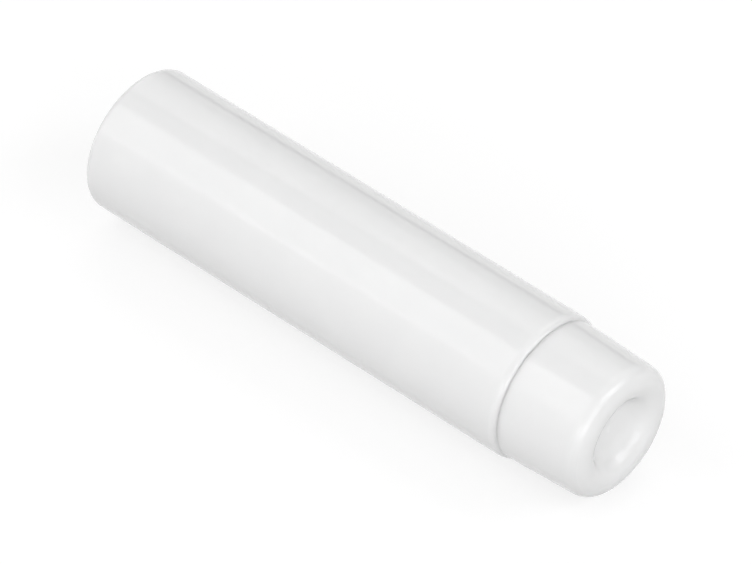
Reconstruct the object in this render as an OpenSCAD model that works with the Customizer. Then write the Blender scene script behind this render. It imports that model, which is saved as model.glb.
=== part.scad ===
// Saliva ejector tip. A straight grip sleeve slips over a suction hose connector at its rear and
// holds a disposable ejector in a soft bush near its front. A dimpled nose cap closes the front
// and pulls straight off for use.
// Millimetres. The tip lies along X with its nose at +X, Z is up and the ground is z = 0.

/* [Sleeve] */
// Length from the rear face to the front face
sleeve_length = 55.4; // [45:0.2:80]
// Outside diameter
sleeve_d = 16; // [15:0.1:20]
// Edge rounding at the rear face
rear_round = 0.8; // [0.2:0.05:1.2]
// Rounding of the front rim, which the nose cap's shoulder follows
front_round = 1.1; // [0.6:0.05:1.25]
// Diameter of the suction passage inside
passage_d = 8.8; // [6:0.1:9.4]

/* [Hose connector socket] */
// Outside diameter of the hose connector that plugs in
connector_d = 11; // [10:0.1:11.4]
// Radial clearance of the connector in its socket
connector_clearance = 0.1; // [0.02:0.01:0.3]
// Depth of the socket from the rear face
socket_depth = 14; // [11:0.5:20]
// Lead-in chamfer at the socket's mouth
socket_lead = 0.5; // [0.2:0.05:0.8]

/* [Socket O-rings] */
// Cord thickness of the O-rings
socket_cord = 1.6; // [1:0.1:1.8]
// How far the O-rings stand proud of the socket's wall
socket_proud = 0.2; // [0.05:0.05:0.3]
// Distance of the outer O-ring from the rear face
outer_ring_at = 4; // [2.5:0.1:6]
// Distance between the two O-rings
ring_pitch = 5; // [3:0.1:8]

/* [Strainer] */
// Outside diameter of the strainer, set in the end of the socket
strainer_d = 10.4; // [9:0.1:10.8]
// Thickness of the strainer's rim
strainer_t = 1.4; // [0.8:0.1:3]
// Thickness of the slotted web
web_t = 0.7; // [0.4:0.1:1.2]
// Diameter of the slotted area
web_d = 8; // [5:0.1:8.6]
// Number of slots across the web
slot_count = 5; // [3:1:9]
// Width of each slot
slot_w = 0.9; // [0.4:0.1:1.2]
// Distance between neighbouring slots
slot_pitch = 1.5; // [0.8:0.1:2]

/* [Ejector bush] */
// Outside diameter of the disposable ejector
ejector_d = 6.5; // [5:0.1:7]
// How much smaller in radius the bush's grip rings are
grip_bite = 0.05; // [0:0.01:0.2]
// Half-round height of the grip rings
grip_bead = 0.35; // [0.2:0.05:0.6]
// Number of grip rings
grip_count = 3; // [1:1:4]
// Outside diameter of the bush, which is the bore of the sleeve's front
bush_d = 12.6; // [11:0.1:13]
// Length of the bush
bush_length = 11.5; // [9:0.5:16]
// How far the bush lies behind the sleeve's front face
bush_recess = 7.9; // [7.4:0.1:12]
// Thickness of the stop behind the ejector's end
stop_t = 1.5; // [0.8:0.1:3]
// Diameter of the hole through the stop
stop_d = 5.2; // [3:0.1:5.6]
// Diameter of the funnel's mouth
funnel_d = 10.8; // [8:0.1:11.6]
// Depth of the funnel
funnel_depth = 2.3; // [1:0.1:4]
// Height of the rib that snaps into the sleeve
rib_h = 0.4; // [0.2:0.05:0.7]
// Width of that rib
rib_w = 2; // [1:0.1:4]

/* [Nose cap] */
// Exposed length of the nose
nose_length = 9.6; // [7:0.1:16]
// Step in radius from the sleeve down to the nose
nose_step = 0.33; // [0.1:0.01:1]
// How much the nose's radius tapers towards its end
nose_draft = 0.38; // [0:0.01:1]
// Rounding of the nose's outer edge
edge_round = 1.5; // [0.8:0.05:2]
// How much larger in radius the rounding over the lip's crest is
lip_extra = 0.6; // [0.1:0.05:1.2]
// Angle from the axis at which the edge's rounding runs into the lip's
lip_turn = 40; // [25:1:60]
// Steepest slope of the dimple's wall
dish_slope = 52; // [30:1:58]
// Rounding between the dimple's wall and its floor
dish_fillet = 2.6; // [1:0.1:3.2]
// Radius of the dimple's hollow floor
dish_r = 20; // [8:0.5:40]
// Thickness under the dimple
cap_wall = 1.6; // [1:0.1:3]
// Gap between the cap's shoulder and the sleeve's front face and rim
seat_gap = 0.1; // [0.02:0.01:0.3]
// Length of the skirt that plugs into the sleeve
skirt_length = 7.2; // [5:0.1:7.5]
// Radial clearance of the skirt in the sleeve
skirt_clearance = 0.08; // [0.02:0.01:0.1]
// Diameter of the hollow in the cap
cap_bore_d = 8.8; // [5:0.1:9.4]

/* [Cap O-ring] */
// Cord thickness of the O-ring
cap_cord = 1.2; // [0.8:0.1:1.5]
// Radial clearance of the O-ring in the sleeve
cap_ring_clearance = 0.03; // [0.01:0.01:0.08]
// Distance of the O-ring behind the cap's shoulder
cap_ring_at = 3.8; // [2:0.1:5.5]

/* [Hidden] */
$fn = 128;

// side play and flattening of an O-ring in its groove
groove_play = 0.2;
ring_flat = 0.1;
// small lead-in at the sleeve's front mouth and on the skirt's end
mouth_lead = 0.35;
skirt_lead = 0.5;
// overlap that keeps curves joined where they touch
seam = 0.0003;

sleeve_r = sleeve_d / 2;
passage_r = passage_d / 2;
socket_r = connector_d / 2 + connector_clearance;
socket_ring_r = socket_r - socket_proud + socket_cord / 2;
socket_groove_r = socket_ring_r + socket_cord / 2 - ring_flat;
inner_ring_at = outer_ring_at + ring_pitch;
strainer_r = strainer_d / 2;
strainer_end = socket_depth + strainer_t;

mouth_r = bush_d / 2;
bush_end = sleeve_length - bush_recess;
bush_start = bush_end - bush_length;
rib_start = bush_start + (bush_length - rib_w) / 2;
grip_r = ejector_d / 2 - grip_bite;
bush_bore_r = grip_r + grip_bead;
grip_start = bush_start + stop_t;
grip_end = bush_end - funnel_depth;
grip_pitch = (grip_end - grip_start) / grip_count;

cap_start = sleeve_length + seat_gap;
nose_end = cap_start + nose_length;
nose_base_r = sleeve_r - nose_step;
nose_slope = nose_draft / nose_length;
nose_taper = atan(nose_slope);
skirt_r = mouth_r - skirt_clearance;
skirt_end = cap_start - skirt_length;
cap_bore_r = cap_bore_d / 2;
cap_ring_r = mouth_r - cap_ring_clearance - cap_cord / 2;
cap_groove_r = cap_ring_r - cap_cord / 2 + ring_flat;
cap_ring_s = cap_start - cap_ring_at;

// the cap's shoulder is curved about the centre of the rim's rounding, out to the nose's side
rim_r = sleeve_r - front_round;
rim_s = sleeve_length - front_round;
seat_r = front_round + seat_gap;
nose_start = rim_s + sqrt(pow(seat_r, 2) - pow(nose_base_r - rim_r, 2));
// the edge's circle touches the tapered side, and the lip's circle touches that one and the end plane
lip_round = edge_round + lip_extra;
lip_s = nose_end - lip_round;
edge_s = lip_s + lip_extra * cos(lip_turn);
edge_r = nose_base_r - (edge_s - nose_start) * nose_slope - edge_round / cos(nose_taper);
edge_out = [edge_r + edge_round * cos(nose_taper), edge_s + edge_round * sin(nose_taper)];
lip_r = edge_r - lip_extra * sin(lip_turn);
// the dimple's fillet touches the lip's circle, and its floor is a sphere that touches the fillet
lip_top = [lip_r - 1.4 * lip_round * sin(dish_slope), lip_s + 1.4 * lip_round * cos(dish_slope)];
fillet_r = lip_r - (lip_round + dish_fillet) * sin(dish_slope);
fillet_s = lip_s + (lip_round + dish_fillet) * cos(dish_slope);
dish_s = fillet_s + sqrt(pow(dish_r - dish_fillet, 2) - pow(fillet_r, 2));
dish_turn = asin(fillet_r / (dish_r - dish_fillet));
cap_roof = dish_s - dish_r - cap_wall;

white = [0.9, 0.9, 0.9];
soft_grey = [0.72, 0.74, 0.75];
steel_grey = [0.62, 0.64, 0.66];
seal_black = [0.08, 0.08, 0.085];

// Lays a piece that was turned about Z along X, with the sleeve's side on the ground.
module lay() {
  translate([-nose_end / 2, 0, sleeve_r]) rotate([0, 90, 0]) children();
}

// Half section of a bar from radius r0 to r, between two stations, with its outer corners rounded.
module bar(r, start, end, round_start = 0, round_end = 0, r0 = 0) {
  difference() {
    translate([r0, start]) square([r - r0, end - start]);
    if (round_start > 0)
      difference() {
        translate([r - round_start, start - 1]) square(round_start + 1);
        translate([r - round_start, start + round_start]) circle(r = round_start);
      }
    if (round_end > 0)
      difference() {
        translate([r - round_end, end - round_end]) square(round_end + 1);
        translate([r - round_end, end - round_end]) circle(r = round_end);
      }
  }
}

// Half section of a cone's frustum that opens by lead towards its start or its end.
module flare(r, s, lead, way) {
  polygon([[-1, s - way], [r - 1, s - way], [r + lead + 1, s + way * (lead + 1)],
    [-1, s + way * (lead + 1)]]);
}

module tip_sleeve() {
  color(white) lay() rotate_extrude() difference() {
    bar(sleeve_r, 0, sleeve_length, rear_round, front_round);
    // hose connector socket, its mouth and its two O-ring grooves
    bar(socket_r, -1, socket_depth, r0 = -1);
    flare(socket_r, socket_lead, socket_lead, -1);
    for (s = [outer_ring_at, inner_ring_at])
      bar(socket_groove_r, s - socket_cord / 2 - groove_play, s + socket_cord / 2 + groove_play, r0 = -1);
    // strainer seat and suction passage
    bar(strainer_r, socket_depth - 1, strainer_end, r0 = -1);
    bar(passage_r, strainer_end - 1, bush_start + 1, r0 = -1);
    // front bore for the bush and the cap, with the bush's snap groove and a small lead-in
    bar(mouth_r, bush_start, sleeve_length + 1, r0 = -1);
    bar(mouth_r + rib_h, rib_start, rib_start + rib_w, r0 = -1);
    flare(mouth_r, sleeve_length - mouth_lead, mouth_lead, 1);
  }
}

// Wedge between two directions, given as angles turned outwards from the nose's direction.
module wedge(r, s, a0, a1, reach) {
  am = (a0 + a1) / 2;
  translate([r, s]) polygon([[0, 0], reach * [sin(a0), cos(a0)], 1.5 * reach * [sin(am), cos(am)],
    reach * [sin(a1), cos(a1)]]);
}

module closing_cap() {
  color(white) lay() rotate_extrude() difference() {
    union() {
      // side of the nose, on a shoulder that follows the sleeve's rim
      difference() {
        polygon([[0, cap_start], [rim_r, cap_start], [rim_r, rim_s],
          [nose_base_r + (nose_start - rim_s) * nose_slope, rim_s], edge_out, [edge_r, edge_s],
          [lip_r, lip_s], lip_top, [0, lip_top[1]]]);
        translate([rim_r, rim_s]) circle(r = seat_r);
      }
      // outer edge and lip
      translate([edge_r, edge_s]) circle(r = edge_round + seam);
      intersection() {
        translate([lip_r, lip_s]) circle(r = lip_round);
        wedge(lip_r, lip_s, -90, lip_turn, 2 * lip_round);
      }
      bar(skirt_r, skirt_end, cap_start + 1, skirt_lead);
    }
    // the dimple: its floor, and the fillet up to the lip
    intersection() {
      translate([0, dish_s]) circle(r = dish_r);
      wedge(0, dish_s, 180 - dish_turn, 190, 2 * dish_r);
    }
    translate([fillet_r, fillet_s]) circle(r = dish_fillet + seam);
    // hollow behind the dimple, and the O-ring's groove
    bar(cap_bore_r, skirt_end - 1, cap_roof, 0, 1, r0 = -1);
    bar(skirt_r + 0.5, cap_ring_s - cap_cord / 2 - groove_play, cap_ring_s + cap_cord / 2 + groove_play,
      r0 = cap_groove_r);
  }
}

module cap_o_ring() {
  color(seal_black) lay() rotate_extrude() intersection() {
    translate([cap_ring_r, cap_ring_s]) circle(r = cap_cord / 2);
    bar(mouth_r, cap_ring_s - cap_cord, cap_ring_s + cap_cord, r0 = cap_groove_r);
  }
}

module ejector_bush() {
  color(soft_grey) lay() rotate_extrude() {
    difference() {
      union() {
        bar(mouth_r, bush_start, bush_end, 0.3, 0.3);
        bar(mouth_r + rib_h, rib_start, rib_start + rib_w, r0 = mouth_r - 1);
      }
      bar(stop_d / 2, bush_start - 1, grip_start + 1, r0 = -1);
      bar(bush_bore_r, grip_start, bush_end + 1, r0 = -1);
      polygon([[-1, grip_end], [bush_bore_r, grip_end], [funnel_d / 2, bush_end],
        [funnel_d / 2, bush_end + 1], [-1, bush_end + 1]]);
    }
    for (i = [0 : grip_count - 1])
      translate([bush_bore_r, grip_start + (i + 0.5) * grip_pitch]) circle(r = grip_bead);
  }
}

module strainer_disc() {
  color(steel_grey) lay() translate([0, 0, socket_depth]) difference() {
    cylinder(r = strainer_r, h = strainer_t);
    translate([0, 0, -1]) cylinder(d = web_d, h = strainer_t - web_t + 1);
    // parallel slots, cut short by the web's round edge and left whole at a bar across the middle
    intersection() {
      cylinder(d = web_d - 0.4, h = strainer_t + 1);
      for (i = [0 : slot_count - 1], side = [-1, 1])
        translate([(i - (slot_count - 1) / 2) * slot_pitch, side * web_d / 2, 0])
          cube([slot_w, web_d - slot_w, 4 * strainer_t], center = true);
    }
  }
}

module socket_o_ring(at) {
  color(seal_black) lay() rotate_extrude() intersection() {
    translate([socket_ring_r, at]) circle(r = socket_cord / 2);
    bar(socket_groove_r, at - socket_cord, at + socket_cord, r0 = socket_r - 1);
  }
}

tip_sleeve();
closing_cap();
cap_o_ring();
ejector_bush();
strainer_disc();
socket_o_ring(outer_ring_at);  // socket_o_ring_outer
socket_o_ring(inner_ring_at);  // socket_o_ring_inner
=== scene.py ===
import math

import bpy
from mathutils import Matrix, Vector

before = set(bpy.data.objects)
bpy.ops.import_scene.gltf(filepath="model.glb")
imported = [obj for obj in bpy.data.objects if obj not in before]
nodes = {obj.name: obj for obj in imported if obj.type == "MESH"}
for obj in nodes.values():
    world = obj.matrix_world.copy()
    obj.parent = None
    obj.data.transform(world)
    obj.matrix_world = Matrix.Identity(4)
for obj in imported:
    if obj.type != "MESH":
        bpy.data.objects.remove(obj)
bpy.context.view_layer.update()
scene = bpy.context.scene
scene.view_settings.view_transform = "Standard"

# Camera: the photograph's angle and framing, with the image taken as 752 x 564.
AZ, EL = math.radians(41.68), math.radians(43.8)
IMAGE_W = 752
SENSOR_MM = 36.0
FOCAL_PX = 6733.7
PX_PER_M = 10016.0
# How far the camera aims to the right of the tip's middle and above it, in pixels.
AIM_RIGHT_PX, AIM_UP_PX = 0.94, 1.2
BACK = Vector((math.sin(AZ) * math.cos(EL), -math.cos(AZ) * math.cos(EL), math.sin(EL)))
RIGHT = Vector((math.cos(AZ), math.sin(AZ), 0.0))
UP = BACK.cross(RIGHT)
MIDDLE = Vector((-0.00005, 0.0, 0.008))
aim = MIDDLE + RIGHT * (AIM_RIGHT_PX / PX_PER_M) + UP * (AIM_UP_PX / PX_PER_M)
cam_data = bpy.data.cameras.new("camera")
cam_data.lens = SENSOR_MM * FOCAL_PX / IMAGE_W
cam_data.sensor_width = SENSOR_MM
cam_data.clip_start, cam_data.clip_end = 0.01, 50.0
cam = bpy.data.objects.new("camera", cam_data)
scene.collection.objects.link(cam)
cam.location = aim + BACK * (FOCAL_PX / PX_PER_M)
cam.rotation_mode = "QUATERNION"
cam.rotation_quaternion = (-BACK).to_track_quat("-Z", "Y")
scene.camera = cam

# Noise values mostly lie between these two, which are spread over a material's own range.
NOISE_LOW, NOISE_HIGH = 0.3, 0.7


# Materials. Textures use the nodes' own coordinates, in metres, so scales are counts per metre
# and bump heights are in metres.
class Mat:
    def __init__(self, name):
        self.mat = bpy.data.materials.new(name)
        self.mat.use_nodes = True
        self.tree = self.mat.node_tree
        self.tree.nodes.clear()
        self.out = self.add("OutputMaterial")
        self.coords = self.add("TexCoord").outputs["Object"]

    def add(self, kind):
        return self.tree.nodes.new("ShaderNode" + kind)

    def link(self, a, b):
        self.tree.links.new(a, b)

    def noise(self, scale, detail=2.0, stretch=None):
        n = self.add("TexNoise")
        n.inputs["Scale"].default_value = scale
        n.inputs["Detail"].default_value = detail
        where = self.coords
        if stretch:
            mapping = self.add("Mapping")
            mapping.inputs["Scale"].default_value = stretch
            self.link(where, mapping.inputs["Vector"])
            where = mapping.outputs["Vector"]
        self.link(where, n.inputs["Vector"])
        return n.outputs["Fac"]

    def spread(self, value, low, high):
        r = self.add("MapRange")
        r.inputs["From Min"].default_value, r.inputs["From Max"].default_value = NOISE_LOW, NOISE_HIGH
        r.inputs["To Min"].default_value, r.inputs["To Max"].default_value = low, high
        self.link(value, r.inputs["Value"])
        return r.outputs["Result"]

    def tint(self, value, low, high):
        r = self.add("ValToRGB")
        first, last = r.color_ramp.elements
        first.position, last.position = NOISE_LOW, NOISE_HIGH
        first.color, last.color = (*low, 1.0), (*high, 1.0)
        self.link(value, r.inputs["Fac"])
        return r.outputs["Color"]

    def bump(self, value, height, under=None):
        b = self.add("Bump")
        b.inputs["Strength"].default_value = 1.0
        b.inputs["Distance"].default_value = height
        self.link(value, b.inputs["Height"])
        if under:
            self.link(under, b.inputs["Normal"])
        return b.outputs["Normal"]

    def surface(self, color, roughness, normal, **values):
        p = self.add("BsdfPrincipled")
        self.link(color, p.inputs["Base Color"])
        self.link(roughness, p.inputs["Roughness"])
        self.link(normal, p.inputs["Normal"])
        for k, v in values.items():
            p.inputs[k.replace("_", " ")].default_value = v
        self.link(p.outputs["BSDF"], self.out.inputs["Surface"])

    def dress(self, *names):
        for n in names:
            nodes[n].data.materials.clear()
            nodes[n].data.materials.append(self.mat)


# White moulded plastic: semi-gloss, a little translucent, with faint mould waviness.
m = Mat("white_plastic")
m.surface(
    m.tint(m.noise(160.0, 3.0), (0.888, 0.889, 0.89), (0.908, 0.909, 0.909)),
    m.spread(m.noise(700.0, 3.0), 0.11, 0.15),
    m.bump(m.noise(6000.0), 1.2e-7, m.bump(m.noise(110.0, 1.0), 1.0e-5)),
    IOR=1.47, Subsurface_Weight=1.0, Subsurface_Radius=(1.0, 1.0, 1.0), Subsurface_Scale=0.0006)
m.dress("tip_sleeve", "closing_cap")

# Pale grey silicone: matt and soft.
m = Mat("grip_silicone")
m.surface(
    m.tint(m.noise(300.0, 3.0), (0.68, 0.7, 0.71), (0.75, 0.77, 0.78)),
    m.spread(m.noise(1500.0, 3.0), 0.42, 0.58),
    m.bump(m.noise(5000.0, 3.0), 3.0e-6),
    IOR=1.41, Subsurface_Weight=0.4, Subsurface_Radius=(1.0, 1.0, 1.0), Subsurface_Scale=0.0008)
m.dress("ejector_bush")

# Black seal rubber: satin, with the fine grain of a moulded ring.
m = Mat("seal_rubber")
m.surface(
    m.tint(m.noise(1200.0, 4.0), (0.016, 0.016, 0.017), (0.035, 0.035, 0.037)),
    m.spread(m.noise(2500.0, 3.0), 0.34, 0.52),
    m.bump(m.noise(9000.0, 3.0), 1.5e-6),
    IOR=1.52)
m.dress("cap_o_ring", "socket_o_ring_outer", "socket_o_ring_inner")

# Brushed stainless steel: the brush lines run across the disc, along Y.
m = Mat("strainer_steel")
lines = m.noise(2200.0, 4.0, stretch=(1.0, 0.04, 1.0))
m.surface(
    m.tint(m.noise(400.0, 2.0), (0.58, 0.6, 0.62), (0.66, 0.68, 0.7)),
    m.spread(lines, 0.22, 0.4),
    m.bump(lines, 4.0e-6),
    Metallic=1.0)
m.dress("strainer_disc")

# Floor: plain pale grey, which takes the tip's shadow. What the camera and reflections see of it
# is lifted to white.
FLOOR_GREY, FLOOR_LIFT, FLOOR_HALF = 0.35, 0.71, 12.0
m = Mat("floor")
diffuse, emission = m.add("BsdfDiffuse"), m.add("Emission")
diffuse.inputs["Color"].default_value = (FLOOR_GREY, FLOOR_GREY, FLOOR_GREY, 1.0)
path = m.add("LightPath")
seen = path.outputs["Is Camera Ray"]
for ray in ("Is Glossy Ray", "Is Transmission Ray"):
    either = m.add("Math")
    either.operation = "MAXIMUM"
    m.link(seen, either.inputs[0])
    m.link(path.outputs[ray], either.inputs[1])
    seen = either.outputs[0]
lift = m.add("Math")
lift.operation = "MULTIPLY"
lift.inputs[1].default_value = FLOOR_LIFT
m.link(seen, lift.inputs[0])
m.link(lift.outputs[0], emission.inputs["Strength"])
both = m.add("AddShader")
m.link(diffuse.outputs["BSDF"], both.inputs[0])
m.link(emission.outputs["Emission"], both.inputs[1])
m.link(both.outputs["Shader"], m.out.inputs["Surface"])
mesh = bpy.data.meshes.new("floor")
corners = [(-1, -1), (1, -1), (1, 1), (-1, 1)]
mesh.from_pydata([(x * FLOOR_HALF, y * FLOOR_HALF, 0) for x, y in corners], [], [(0, 1, 2, 3)])
mesh.materials.append(m.mat)
floor = bpy.data.objects.new("floor", mesh)
scene.collection.objects.link(floor)

WORLD_STRENGTH = 0.21
world = bpy.data.worlds.new("studio")
scene.world = world
world.use_nodes = True
background = world.node_tree.nodes["Background"]
background.inputs["Color"].default_value = (1.0, 1.0, 1.0, 1.0)
background.inputs["Strength"].default_value = WORLD_STRENGTH

# Softboxes around the tip, each facing its middle, with the width along X as far as that goes.
LAMP_DISTANCE = 0.7


# The direction that goes this far along X, at this height in degrees up from the front.
def around(along, height):
    q, h = math.sqrt(1.0 - along * along), math.radians(height)
    return (along, -q * math.cos(h), q * math.sin(h))


def softbox(name, direction, width, height, radiance):
    z = Vector(direction).normalized()
    x = (Vector((1, 0, 0)) - z * z.x).normalized()
    data = bpy.data.lights.new(name, "AREA")
    data.shape = "RECTANGLE"
    data.size, data.size_y = width, height
    data.energy = radiance * math.pi * width * height
    o = bpy.data.objects.new(name, data)
    scene.collection.objects.link(o)
    o.location = MIDDLE + z * LAMP_DISTANCE
    o.rotation_mode = "QUATERNION"
    o.rotation_quaternion = Matrix((x, z.cross(x), z)).transposed().to_quaternion()
    o.visible_camera = False


# The key makes the bright band along the sleeve and the nose.
softbox("key", around(-0.42, 55), 0.27, 0.522, 1.8)
softbox("key_low", around(-0.48, 18.7), 0.9, 0.396, 1.0)
softbox("left", around(-0.88, 35), 0.3, 0.5, 1.6)
softbox("front", (0.5, -0.83, 0.28), 0.6, 0.3, 2.3)
softbox("top", around(-0.35, 120), 0.9, 0.22, 1.04)
softbox("rear", around(-0.35, 140), 0.9, 0.22, 1.13)
softbox("rear_low", around(-0.35, 161), 0.9, 0.22, 0.7)
# These two make the highlight along the nose's lip and the crescent in its dimple.
softbox("right", (0.741, 0.26, 0.621), 0.28, 0.6, 2.8)
softbox("right_front", (0.827, -0.422, 0.376), 0.28, 0.5, 2.6)
softbox("right_rear", (0.72, 0.55, 0.42), 0.5, 0.5, 0.3)
